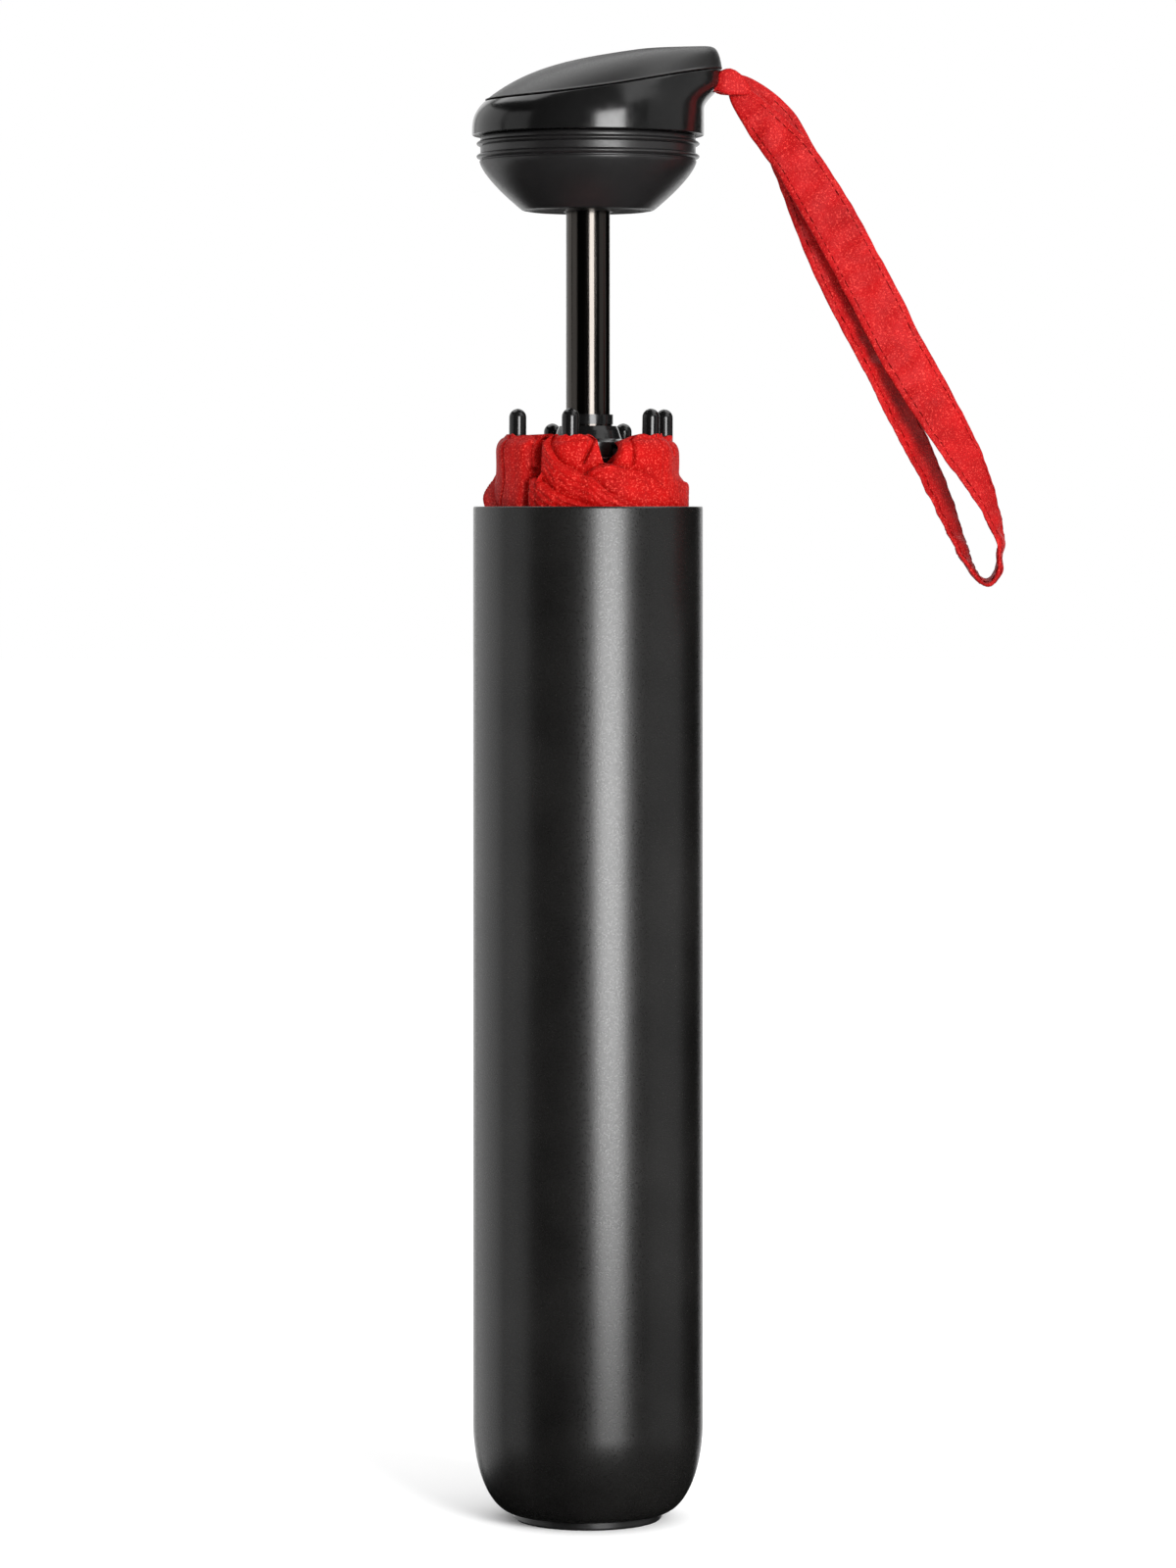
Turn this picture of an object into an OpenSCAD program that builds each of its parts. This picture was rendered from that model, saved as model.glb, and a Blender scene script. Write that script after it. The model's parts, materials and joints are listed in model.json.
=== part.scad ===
// Compact three-fold umbrella with a push-on handle cap, partly drawn out of its round hard case.
// Millimetres, +Z up. The origin is the centre of the case foot's flat underside.

/* [Case] */
// Outside radius of the case
case_r = 26; // [25.8:0.1:27]
// Height of the case mouth above the ground
case_h = 229; // [225:1:235]
// Wall thickness of the case
case_wall = 0.7; // [0.5:0.1:0.7]
// Height over which the bottom of the case rounds in
case_round_h = 20; // [16:1:24]
// Radius of the flat bottom of the case
case_flat_r = 17; // [16.9:0.1:19]
// Radius of the foot disc
foot_r = 16.8; // [14:0.2:16.8]
// Thickness of the foot disc
foot_h = 1.8; // [1.4:0.1:2.4]

/* [Pack] */
// Height of the ferrule's lowest point as stored
pack_z = 45; // [44:0.5:46]
// Radius of the rolled canopy inside the case
pack_r = 22.9; // [21.8:0.1:23.2]
// Radius of the rolled canopy at its top edge
pack_top_r = 20.9; // [20.6:0.1:21.2]
// Height of the canopy's top edge above the ferrule's lowest point
pack_h = 200; // [198:1:201]
// Height of the front rib tips above the ferrule's lowest point
tip_top_h = 206; // [205:0.5:206]
// How much lower the two rear rib tips sit
tip_drop = 3; // [1:0.5:4]
// Radius of a rib tip
tip_r = 1.95; // [1.7:0.05:1.95]
// Distance of the outer ribs from the shaft's axis
rib_circle_r = 17.3; // [17:0.1:17.4]

/* [Shaft] */
// Outside radius of the handle tube
handle_tube_r = 5; // [4.8:0.05:5]
// Radial play between two nested tubes
tube_play = 0.05; // [0.03:0.01:0.08]
// Wall of each tube
tube_wall = 0.45; // [0.4:0.01:0.45]

/* [Handle] */
// Height of the handle's flange above the ground as stored
flange_z = 313; // [312.5:0.5:314]
// Radius of the flange
flange_r = 26.3; // [26.1:0.1:26.6]
// Leftmost point of the seam under the lid
seam_left_x = -23.3; // [-24:0.1:-22.5]
// Rightmost point of the seam, at the beak
seam_right_x = 30.4; // [30:0.1:30.6]
// Height of the seam above the flange at its left end
seam_left_h = 7.8; // [7.5:0.1:8.4]
// Height of the seam above the flange at the beak
seam_right_h = 15; // [15:0.1:15.6]
// How far the seam dips at the front and the back
seam_dip = 1.8; // [0:0.2:2]
// Height of the lid above its seam at the beak
lid_rise = 5.6; // [5:0.1:6.4]
// How much higher the lid stands away from the beak
lid_hump = 1.1; // [0:0.1:1.4]
// Half the width of the lid, front to back
lid_half_w = 24.5; // [23.5:0.1:25]

/* [Strap] */
// Width of the wrist strap
strap_w = 11; // [10:0.5:11.5]
// Thickness of the wrist strap
strap_t = 1.2; // [0.9:0.1:1.2]

/* [Hidden] */
RIB_COUNT = 6;
RIBS = [for (k = [1 : RIB_COUNT]) k];
function numbered(name) = [for (k = RIBS) str(name, "_", k)];

$fn = 64;
EPS = 0.01;
PLAY = 0.05;

BLACK = [0.05, 0.05, 0.055];
GLOSS_BLACK = [0.03, 0.03, 0.03];
DARK_STEEL = [0.2, 0.19, 0.19];
STEEL = [0.6, 0.6, 0.62];
RED = [0.8, 0.08, 0.08];

// Case
case_floor = 1.4;
case_bore_r = case_r - case_wall;
stem_r = 3;
clip_z = foot_h + case_floor;
clip_h = 1.2;

// Pack, from the ferrule upwards
ferrule_r = 7.5;
ferrule_h = 12;
ferrule_dome_h = 5;
stud_r = 3.5;
stud_depth = 6.5;
cloth_t = 0.8;
cloth_gap = 0.2;
crown_z = pack_z + ferrule_h + cloth_t + 2 * cloth_gap;
crown_plate = 1.8;
crown_h = 7.8;
crown_r = 9.2;
crown_wire_r = 8.6;
wire_r = 0.4;
eye_r = 0.5;
slot_w = 2.2;

// Nested tubes, the widest at the crown
middle_bore_r = handle_tube_r + tube_play;
middle_r = middle_bore_r + tube_wall;
top_bore_r = middle_r + tube_play;
top_r = top_bore_r + tube_wall;
top_tube_z = crown_z + crown_plate;
top_tube_end = pack_z + pack_h;
collar_z = top_tube_end + 2.6;
collar_h = 2.2;
collar_r = middle_r + 0.2;
middle_z = pack_z + 25;
handle_tube_z = flange_z - 196.2;
handle_tube_end = flange_z + 6;
handle_tube_bore_r = handle_tube_r - 0.5;

// Runner
runner_z = top_tube_end - 31;
runner_bore_r = top_r + tube_play;
runner_sleeve_r = 7;
runner_notch_z = top_tube_end - 9;
runner_notch_top = top_tube_end - 1;
runner_top = top_tube_end + 2.2;
runner_wire_ring_r = 8.2;
runner_wire_z = top_tube_end - 5;

// Ribs: radial place and height of each bar in its own folded plane
rib_w = 2.2;
rib_t = 2;
inner_rib_x = 9.8;
middle_rib_x = 12.6;
stretcher_x = 7.2;
stretcher_w = 1.6;
upper_knee_z = pack_z + 185;
lower_knee_z = pack_z + 21;
knee_h = 6;
knee_w = 5;
stretcher_foot_z = pack_z + 105;
outer_rib_r = 1;
// Direction of each folded rib plane, from the front, anticlockwise seen from below
rib_plane_deg = [-78, -18, 42, 102, 162, 222];
// Direction in which each outer rib's tip has settled
rib_tip_deg = [-66, -13, 55, 92, 152, 208];
tip_h = 8;
// The two rib tips at the back sit lower
tip_top = [for (a = rib_tip_deg) pack_z + tip_top_h - (cos(a) < -0.5 ? tip_drop : 0)];

// Handle
plug_neck_r = 24.4;
plug_rim_r = 24.6;
plug_flat_r = 14.5;
plug_rim_h = 5.9;
plug_h = 17.3;
plug_curve = 1.4;
plug_wall = 1.8;
socket_r = 8;
socket_top = 7.5;
lip_r = 25.2;
lip_root_r = 23.9;
upper_lip_h = 1.9;
lower_lip_h = 4.8;
cavity_r = 19;
cavity_floor = 2;
tube_pin_r = 1.25;
tube_pin_h = 3.5;
strap_pin_x = 25.5;
strap_pin_h = 11.8;
strap_pin_r = 1.2;
strap_slot_x = 21.5;
strap_slot_w = 9.6;
strap_slot_h = 4.4;
beak_end = 30.6;

// ---------- shared shapes ----------

module tube(r_out, r_in, z0, z1) {
    translate([0, 0, z0]) difference() {
        cylinder(r = r_out, h = z1 - z0);
        translate([0, 0, -1]) cylinder(r = r_in, h = z1 - z0 + 2);
    }
}

module wire_ring(ring, wire, z) {
    translate([0, 0, z]) rotate_extrude() translate([ring, 0]) circle(r = wire, $fn = 24);
}

// Turns a piece drawn along +X into the folded plane of rib k
module in_rib_plane(k) {
    rotate([0, 0, rib_plane_deg[k - 1] - 90]) children();
}

module bar(x, w, t, z0, z1) {
    translate([x, -w / 2, z0]) cube([t, w, z1 - z0]);
}

module cross_hole(x, z, r, w) {
    translate([x, w / 2, z]) rotate([90, 0, 0]) cylinder(r = r, h = w, $fn = 24);
}

// ---------- case ----------

// Radius of the case's rounded bottom at height z, on an ellipse
function round_r(z, r) =
    let (u = (foot_h + case_round_h - z) / case_round_h)
    r - (case_r - case_flat_r) * (1 - sqrt(max(0, 1 - u * u)));

ROUND_STEPS = [for (a = [0 : 7.5 : 90]) 1 - cos(a)];

module case_tube() {
    lip = 0.25;
    outside = [for (s = ROUND_STEPS) [round_r(foot_h + s * case_round_h, case_r), foot_h + s * case_round_h]];
    inside = [for (s = ROUND_STEPS)
        [round_r(foot_h + s * case_round_h, case_bore_r),
         foot_h + case_floor + s * (case_round_h - case_floor)]];
    reversed = [for (i = [len(inside) - 1 : -1 : 0]) inside[i]];
    color(BLACK) rotate_extrude($fn = 128) polygon(concat(
        [[stem_r + PLAY, foot_h]], outside,
        [[case_r, case_h - lip], [case_r - lip, case_h], [case_bore_r + lip, case_h],
         [case_bore_r, case_h - lip]],
        reversed, [[stem_r + PLAY, foot_h + case_floor]]));
}

module case_foot() {
    edge = 0.5;
    color(GLOSS_BLACK) rotate_extrude($fn = 96) polygon([
        [0, 0], [foot_r - edge, 0], [foot_r, edge], [foot_r, foot_h], [stem_r, foot_h],
        [stem_r, clip_z + clip_h + 1], [0, clip_z + clip_h + 1]]);
}

// Push nut that holds the foot's stem inside the case
module foot_clip() {
    color(STEEL) tube(stem_r + 5, stem_r + PLAY, clip_z, clip_z + clip_h);
}

// ---------- ferrule, crown and top tube ----------

module ferrule_cap() {
    dome = [for (a = [0 : 10 : 90]) [ferrule_r * sin(a), ferrule_dome_h * (1 - cos(a))]];
    color(GLOSS_BLACK) translate([0, 0, pack_z]) rotate_extrude() difference() {
        polygon(concat(dome, [[ferrule_r, ferrule_h], [0, ferrule_h]]));
        translate([-1, ferrule_h - stud_depth]) square([stud_r + PLAY + 1, stud_depth + 1]);
    }
}

module crown() {
    color(GLOSS_BLACK) difference() {
        union() {
            translate([0, 0, crown_z]) cylinder(r = crown_r, h = crown_h);
            translate([0, 0, crown_z - 6.6]) cylinder(r = stud_r, h = 7);
        }
        translate([0, 0, top_tube_z]) cylinder(r = top_r + PLAY / 2, h = crown_h);
        for (k = RIBS) in_rib_plane(k) bar(7.4, slot_w, 4, crown_z + 2.3, crown_z + crown_h + 1);
        tube(crown_r + 1, crown_wire_r - wire_r - PLAY, crown_z + 4.4, crown_z + 5.2 + 2 * PLAY);
    }
}

module crown_wire() {
    color(STEEL) wire_ring(crown_wire_r, wire_r, crown_z + 4.85);
}

module top_tube() {
    color(DARK_STEEL) difference() {
        tube(top_r, top_bore_r, top_tube_z, top_tube_end);
        translate([top_bore_r - 1, -0.9, crown_z + crown_h + 0.6]) cube([3, 1.8, 3]);
    }
}

// Leaf spring whose nose holds the runner when the canopy is open, here pressed in
module runner_catch() {
    leaf_top = crown_z + crown_h + 3.3;
    color(STEEL) union() {
        translate([3, -1, top_tube_z]) cube([0.6, 2, leaf_top - top_tube_z]);
        translate([3, -0.7, leaf_top - 2.4]) cube([top_r - 3.1, 1.4, 2.4]);
    }
}

// ---------- runner ----------

module runner() {
    shape = [
        [runner_bore_r, runner_z], [runner_sleeve_r, runner_z],
        [runner_sleeve_r, runner_notch_z], [crown_r, runner_notch_z],
        [crown_r, runner_notch_top - 0.5], [7.6, runner_notch_top + 0.3],
        [7.3, runner_notch_top + 1.2], [7, runner_notch_top + 2.2], [runner_bore_r + 0.5, runner_top],
        [runner_bore_r, runner_top]];
    color(GLOSS_BLACK) difference() {
        rotate_extrude() polygon(shape);
        for (k = RIBS) in_rib_plane(k) bar(6.9, slot_w, 4, runner_notch_z - 1, runner_notch_top - 1);
        tube(crown_r + 1, runner_wire_ring_r - wire_r - PLAY,
             runner_wire_z - wire_r - PLAY, runner_wire_z + wire_r + PLAY);
    }
}

module runner_wire() {
    color(STEEL) wire_ring(runner_wire_ring_r, wire_r, runner_wire_z);
}

// ---------- ribs ----------

module inner_rib(k) {
    hook_z = crown_z + 3.3;
    color(DARK_STEEL) in_rib_plane(k) difference() {
        union() {
            bar(7.8, stretcher_w, inner_rib_x - 7.8 + EPS, hook_z, hook_z + 3);
            bar(inner_rib_x, rib_w, rib_t, hook_z, upper_knee_z);
        }
        cross_hole(crown_wire_r, crown_z + 4.85, eye_r, 4);
        bar(inner_rib_x + 0.6, 1.2, rib_t, hook_z + 5, upper_knee_z - 4);
    }
}

module middle_rib(k) {
    color(DARK_STEEL) in_rib_plane(k) difference() {
        bar(middle_rib_x, rib_w, rib_t, lower_knee_z + knee_h, upper_knee_z);
        bar(middle_rib_x + 0.6, 1.2, rib_t, lower_knee_z + knee_h + 4, upper_knee_z - 4);
    }
}

module stretcher(k) {
    color(DARK_STEEL) in_rib_plane(k) difference() {
        union() {
            bar(stretcher_x, stretcher_w, rib_t, stretcher_foot_z, runner_wire_z + 2);
            bar(stretcher_x, stretcher_w, inner_rib_x - stretcher_x, stretcher_foot_z, stretcher_foot_z + 4);
        }
        cross_hole(runner_wire_ring_r, runner_wire_z, eye_r, 4);
    }
}

// Ends of outer rib k: its hinge at the lower knee and its tip
function rib_foot(k) =
    let (a = rib_plane_deg[k - 1] - 90)
    [rib_circle_r * cos(a), rib_circle_r * sin(a), lower_knee_z + knee_h];
function rib_head(k) =
    let (a = rib_tip_deg[k - 1] - 90)
    [rib_circle_r * cos(a), rib_circle_r * sin(a), tip_top[k - 1]];

// Lays a piece drawn up the Z axis along outer rib k, from its foot
module along_outer_rib(k) {
    v = rib_head(k) - rib_foot(k);
    translate(rib_foot(k)) rotate([0, acos(v[2] / norm(v)), atan2(v[1], v[0])]) children();
}

function outer_rib_length(k) = norm(rib_head(k) - rib_foot(k));

// A leaning rib starts just clear of its knee's flat top
module outer_rib(k) {
    color(DARK_STEEL) along_outer_rib(k)
        translate([0, 0, PLAY]) cylinder(r = outer_rib_r, h = outer_rib_length(k) - 5, $fn = 24);
}

module rib_tips() {
    color(GLOSS_BLACK) for (k = RIBS) along_outer_rib(k)
        translate([0, 0, outer_rib_length(k) - tip_h]) rotate_extrude($fn = 32) difference() {
            union() {
                square([tip_r, tip_h - tip_r]);
                translate([0, tip_h - tip_r]) intersection() {
                    circle(r = tip_r);
                    square(tip_r);
                }
            }
            translate([-1, -1]) square([outer_rib_r + PLAY + 1, tip_h - 3.9]);
        }
}

module knee(x0, x1, z) {
    bar(x0, knee_w, x1 - x0, z, z + knee_h);
}

module upper_knees() {
    color(GLOSS_BLACK) for (k = RIBS) in_rib_plane(k) difference() {
        knee(inner_rib_x - 0.2, middle_rib_x + rib_t + 0.2, upper_knee_z);
        cross_hole(inner_rib_x + 1, upper_knee_z + 3, 0.6 + PLAY, 8);
        cross_hole(middle_rib_x + 1, upper_knee_z + 3, 0.6 + PLAY, 8);
    }
}

module lower_knees() {
    color(GLOSS_BLACK) for (k = RIBS) in_rib_plane(k) difference() {
        knee(middle_rib_x - 0.2, rib_circle_r + 1.2, lower_knee_z);
        cross_hole(middle_rib_x + 1, lower_knee_z + 3, 0.6 + PLAY, 8);
        cross_hole(rib_circle_r - 0.5, lower_knee_z + 3, 0.6 + PLAY, 8);
    }
}

module knee_rivets() {
    rivets = [
        [inner_rib_x + 1, upper_knee_z + 3], [middle_rib_x + 1, upper_knee_z + 3],
        [middle_rib_x + 1, lower_knee_z + 3], [rib_circle_r - 0.5, lower_knee_z + 3]];
    color(STEEL) for (k = RIBS, p = rivets) in_rib_plane(k) cross_hole(p[0], p[1], 0.6, knee_w + 0.6);
}

// Wires that fold the middle ribs down as the inner ribs rise
module control_rods() {
    rod_r = 0.5;
    x = inner_rib_x + rib_t / 2;
    y = rib_w / 2 + 0.8;
    color(STEEL) for (k = RIBS) in_rib_plane(k) union() {
        translate([x, y, stretcher_foot_z])
            cylinder(r = rod_r, h = upper_knee_z - stretcher_foot_z, $fn = 24);
        translate([x, rib_w / 2, stretcher_foot_z + rod_r]) rotate([-90, 0, 0])
            cylinder(r = rod_r, h = 0.8, $fn = 24);
    }
}

// ---------- canopy ----------

// Rolled canopy: a sleeve round the ribs, pinched between the ferrule and the crown
module canopy() {
    z0 = pack_z + ferrule_h + cloth_gap;
    top = pack_z + pack_h;
    inner_r = 19.4;
    color(RED) rotate_extrude($fn = 96) polygon([
        [stud_r + 0.5, z0], [17.5, z0], [20.5, z0 + 2.5], [pack_r, z0 + 8], [pack_r, case_h - 3],
        [pack_top_r + 0.7, top - 9], [pack_top_r, top - 3], [pack_top_r - 0.6, top],
        [inner_r, top], [inner_r, z0 + 8.8], [17.4, z0 + cloth_t + 2.5], [15, z0 + cloth_t],
        [stud_r + 0.5, z0 + cloth_t]]);
}

// ---------- middle tube ----------

module middle_tube() {
    color(DARK_STEEL) tube(middle_r, middle_bore_r, middle_z, collar_z);
}

module middle_collar() {
    color(GLOSS_BLACK) tube(collar_r, middle_bore_r, collar_z, collar_z + collar_h);
}

// ---------- handle ----------

module handle_tube() {
    color(DARK_STEEL) difference() {
        tube(handle_tube_r, handle_tube_bore_r, handle_tube_z, handle_tube_end);
        cross_hole(0, flange_z + tube_pin_h, tube_pin_r + PLAY, 30);
    }
}

// Moulded socket that takes the tube's end inside the handle
module tube_socket() {
    color(BLACK) difference() {
        tube(socket_r, handle_tube_r + PLAY / 2, flange_z - plug_h + plug_wall, flange_z + socket_top);
        cross_hole(0, flange_z + tube_pin_h, tube_pin_r + PLAY, 30);
    }
}

module tube_pin() {
    color(STEEL) cross_hole(0, flange_z + tube_pin_h, tube_pin_r, 2 * socket_r - 1);
}

// Radius of the plug's bowl at a depth d below the flange
function bowl_r(d) =
    let (u = (d - plug_rim_h) / (plug_h - plug_rim_h))
    plug_flat_r + (plug_rim_r - plug_flat_r) * (1 - pow(u, plug_curve));

// Bowl-shaped stopper that pushes into the case mouth
module handle_plug() {
    steps = [0 : 0.1 : 1];
    bowl = [for (s = steps) let (d = plug_rim_h + s * (plug_h - plug_rim_h)) [bowl_r(d), -d]];
    inside = [for (s = [1 : -0.1 : 0]) let (d = plug_rim_h + s * (plug_h - plug_rim_h))
        [bowl_r(d) - plug_wall - 0.6, -d + plug_wall * s]];
    color(BLACK) translate([0, 0, flange_z]) rotate_extrude($fn = 96) difference() {
        polygon(concat(
            [[handle_tube_r + 2 * PLAY, -plug_h]], [for (i = [len(bowl) - 1 : -1 : 0]) bowl[i]],
            [[plug_neck_r, -plug_rim_h + 0.2], [plug_neck_r, 0], [plug_rim_r - plug_wall - 0.6, 0]],
            [for (i = [len(inside) - 1 : -1 : 0]) inside[i]],
            [[handle_tube_r + 2 * PLAY, -plug_h + plug_wall]]));
        for (h = [upper_lip_h, lower_lip_h])
            translate([lip_root_r - 0.03, -h - 0.53]) square([2, 1.06]);
    }
}

// Rubber ring with a tapered lip that rubs on the inside of the case
module seal_ring(depth) {
    color(GLOSS_BLACK) translate([0, 0, flange_z - depth]) rotate_extrude($fn = 96) polygon([
        [lip_root_r, -0.5], [plug_neck_r + 0.1, -0.5], [lip_r - 0.15, -0.3], [lip_r, -0.1],
        [lip_r, 0.1], [lip_r - 0.15, 0.3], [plug_neck_r + 0.1, 0.5], [lip_root_r, 0.5]]);
}

module seal_ring_upper() {
    seal_ring(upper_lip_h);
}

module seal_ring_lower() {
    seal_ring(lower_lip_h);
}

// The seam between body and lid is nearly round, with a beak on the right. It rises to the beak and
// dips at the sides.
SIDES = 48;
TURN = [for (i = [0 : SIDES - 1]) 360 * i / SIDES];
seam_off_centre = lid_half_w + seam_left_x;
beak_l = seam_right_x - lid_half_w - seam_off_centre;
beak_half_deg = 30;
// Shares of the wall's height at which the beak starts to flare out, and over which it does
beak_flare_from = 0.4;
beak_flare_over = 0.42;
lid_peak_x = 14;
// How suddenly the lid falls off at its edge: on the left, added by half a turn to the right, and
// added in the beak
lid_power_left = 3.8;
lid_power_right = 1.1;
lid_power_beak = 14;
// Where the lid's hump starts to die away towards the beak, and over what length
hump_end_x = 11;
hump_end_l = 16;

// 1 in the middle of the beak, falling to 0 on both sides of it
function beak(a) = let (d = a > 180 ? a - 360 : a) exp(-pow(d / beak_half_deg, 2));

function seam_r(a) = lid_half_w + seam_off_centre * cos(a) + beak_l * beak(a);
function seam_x(a) = seam_r(a) * cos(a);
function seam_y(a) = seam_r(a) * sin(a);
function seam_plane_h(x) =
    seam_left_h + (seam_right_h - seam_left_h) * (x - seam_left_x) / (seam_right_x - seam_left_x);
function seam_h(a) = seam_plane_h(seam_x(a)) - seam_dip * pow(sin(a), 2);

function smooth(t) = let (u = min(1, max(0, t))) u * u * (3 - 2 * u);

// How far the body's wall has moved from the flange circle (0) to the seam (1) at height t
function flare(t, a) =
    let (w = sqrt(beak(a)))
    w * smooth((t - beak_flare_from) / beak_flare_over) + (1 - w) * pow(t, 3);

function body_point(a, t) =
    let (x1 = seam_x(a), y1 = seam_y(a), e = flare(t, a))
    [flange_r * cos(a) * (1 - e) + x1 * e, flange_r * sin(a) * (1 - e) + y1 * e, flange_z + t * seam_h(a)];

// The lid falls off gently towards its edge on the left, and steeply at the beak
function lid_point(a, s) =
    let (x = lid_peak_x + s * (seam_x(a) - lid_peak_x),
         p = lid_power_left + lid_power_right * (1 + cos(a)) + lid_power_beak * beak(a),
         rise = lid_rise + lid_hump * (1 - smooth((x - hump_end_x) / hump_end_l)))
    [x, s * seam_y(a),
     flange_z + seam_plane_h(x) - seam_dip * pow(s * sin(a), 2) + rise * (1 - pow(s, p))];

// Closed skin over rings of SIDES points each, with a flat fan on both ends
module loft(rings) {
    n = len(rings);
    points = [for (ring = rings, p = ring) p];
    sides = [for (j = [0 : n - 2], i = [0 : SIDES - 1])
        let (i2 = (i + 1) % SIDES, a = j * SIDES, b = a + SIDES)
        each [[a + i, b + i, b + i2], [a + i, b + i2, a + i2]]];
    bottom = [[for (i = [0 : SIDES - 1]) i]];
    top = [[for (i = [SIDES - 1 : -1 : 0]) (n - 1) * SIDES + i]];
    polyhedron(points = points, faces = concat(bottom, sides, top), convexity = 4);
}

BODY_STEPS = [0, 0.2, 0.4, 0.47, 0.54, 0.61, 0.68, 0.75, 0.82, 0.91, 1];
LID_STEPS = [1, 0.985, 0.96, 0.93, 0.87, 0.78, 0.65, 0.5, 0.3, 0.1];

module strap_slot() {
    translate([strap_slot_x, -strap_slot_w / 2, flange_z + strap_pin_h - strap_slot_h / 2])
        cube([12, strap_slot_w, strap_slot_h]);
}

module handle_body() {
    pin_l = 15;
    color(GLOSS_BLACK) difference() {
        loft([for (t = BODY_STEPS) [for (a = TURN) body_point(a, t)]]);
        translate([0, 0, flange_z + cavity_floor]) cylinder(r = cavity_r, h = 30);
        translate([0, 0, flange_z - 1]) cylinder(r = socket_r + PLAY, h = 5);
        strap_slot();
        cross_hole(strap_pin_x, flange_z + strap_pin_h, strap_pin_r + PLAY, pin_l + 0.1);
    }
}

module handle_lid() {
    color(BLACK) difference() {
        loft([for (s = LID_STEPS) [for (a = TURN) lid_point(a, s)]]);
        strap_slot();
    }
}

module strap_pin() {
    color(STEEL) cross_hole(strap_pin_x, flange_z + strap_pin_h, strap_pin_r, 15);
}

// Sewn end of the strap, looped round its pin in the beak
module strap_anchor() {
    w = strap_slot_w - 0.6;
    h = strap_slot_h - 0.6;
    color(RED) difference() {
        translate([strap_slot_x + 0.3, -w / 2, flange_z + strap_pin_h - h / 2])
            cube([beak_end - strap_slot_x - 0.3, w, h]);
        cross_hole(strap_pin_x, flange_z + strap_pin_h, strap_pin_r + PLAY, 20);
    }
}

// ---------- wrist strap ----------

// Route of the strap's centre line: x, y and z from the flange's centre, roll about its own
// length (0 and 180 face the front, 90 edge-on), and width as a share of the full width.
strap_route = [
    [32.2, 0.9, 12.2, 0, 0.22], [34.6, 1.5, 11.5, 0, 0.42], [38.6, 2, 8.4, 0, 0.66],
    [42.7, 2.2, 3.2, 0, 0.85], [45.5, 2.2, -2.6, 0, 0.95], [48.3, 2.2, -8.7, 0, 1],
    [51, 2.2, -16.2, 4, 1], [54.2, 2.2, -24.8, 12, 1], [57.9, 2.2, -33.9, 24, 1],
    [62.1, 2.2, -43.4, 36, 1], [66.5, 2.2, -52.5, 44, 1], [70.4, 2.2, -61.5, 50, 1],
    [74.7, 2.2, -70.3, 55, 1], [78.5, 2.2, -78.3, 60, 1], [81.7, 2.1, -85.8, 66, 1],
    [84.3, 1.8, -92.4, 74, 1], [86.5, 1.2, -97.5, 82, 1], [88.6, 0.6, -100.4, 87, 1],
    [90.9, 0, -101.1, 90, 1], [92.6, -0.6, -99.2, 92, 1], [93.3, -1.3, -95.3, 96, 1],
    [93, -1.8, -90.6, 103, 1], [91, -2.1, -84.6, 114, 1], [88.1, -2.2, -78.1, 128, 1],
    [84.3, -2.2, -71.3, 142, 1], [79.9, -2.2, -63.9, 154, 1], [75.3, -2.2, -56.2, 164, 1],
    [70.4, -2.2, -47.9, 172, 1], [65.9, -2.2, -38.9, 178, 1], [61, -2.2, -29.8, 180, 1],
    [56.1, -2.2, -20.7, 180, 1], [51.3, -2.2, -12.6, 180, 0.98], [46.7, -2.2, -5.4, 180, 0.92],
    [42.2, -2.1, 0.2, 180, 0.83], [38.2, -2, 5, 180, 0.68], [34.7, -1.6, 9, 180, 0.45],
    [32.2, -0.9, 11.6, 180, 0.22]];

function unit(v) = v / norm(v);
function at(i) = let (p = strap_route[i]) [p[0], p[1], p[2] + flange_z];
function along(i) = unit(at(min(i + 1, len(strap_route) - 1)) - at(max(i - 1, 0)));

// Directions across the strap's width and through its thickness at point i
function across(i) =
    let (t = along(i), r = strap_route[i][3], w = [-t[2] * cos(r), sin(r), t[0] * cos(r)])
    unit(w - t * (w * t));
function through(i) = cross(along(i), across(i));

RIBBON = 8;
function ribbon_ring(i) = [for (j = [0 : RIBBON - 1])
    let (a = 360 * (j + 0.5) / RIBBON, hw = strap_w / 2 * strap_route[i][4])
    at(i) + across(i) * hw * sign(cos(a)) * pow(abs(cos(a)), 0.4)
          + through(i) * strap_t / 2 * sign(sin(a)) * pow(abs(sin(a)), 0.6)];

module wrist_strap() {
    n = len(strap_route);
    points = [for (i = [0 : n - 1]) each ribbon_ring(i)];
    sides = [for (i = [0 : n - 2], j = [0 : RIBBON - 1])
        let (j2 = (j + 1) % RIBBON, a = i * RIBBON, b = a + RIBBON)
        each [[a + j, b + j2, b + j], [a + j, a + j2, b + j2]]];
    start = [[for (j = [RIBBON - 1 : -1 : 0]) j]];
    end = [[for (j = [0 : RIBBON - 1]) (n - 1) * RIBBON + j]];
    color(RED) polyhedron(points = points, faces = concat(start, sides, end), convexity = 6);
}

// ---------- nodes ----------

case_tube();
case_foot();
foot_clip();
ferrule_cap();
crown();
crown_wire();
top_tube();
runner_catch();
runner();
runner_wire();
upper_knees();
lower_knees();
knee_rivets();
control_rods();
rib_tips();
canopy();
middle_tube();
middle_collar();
handle_tube();
tube_socket();
tube_pin();
handle_plug();
seal_ring_upper();
seal_ring_lower();
handle_body();
handle_lid();
strap_pin();
strap_anchor();
wrist_strap();
for (k = RIBS) {
    inner_rib(k);
    middle_rib(k);
    outer_rib(k);
    stretcher(k);
}
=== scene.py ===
import json
import math

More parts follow.
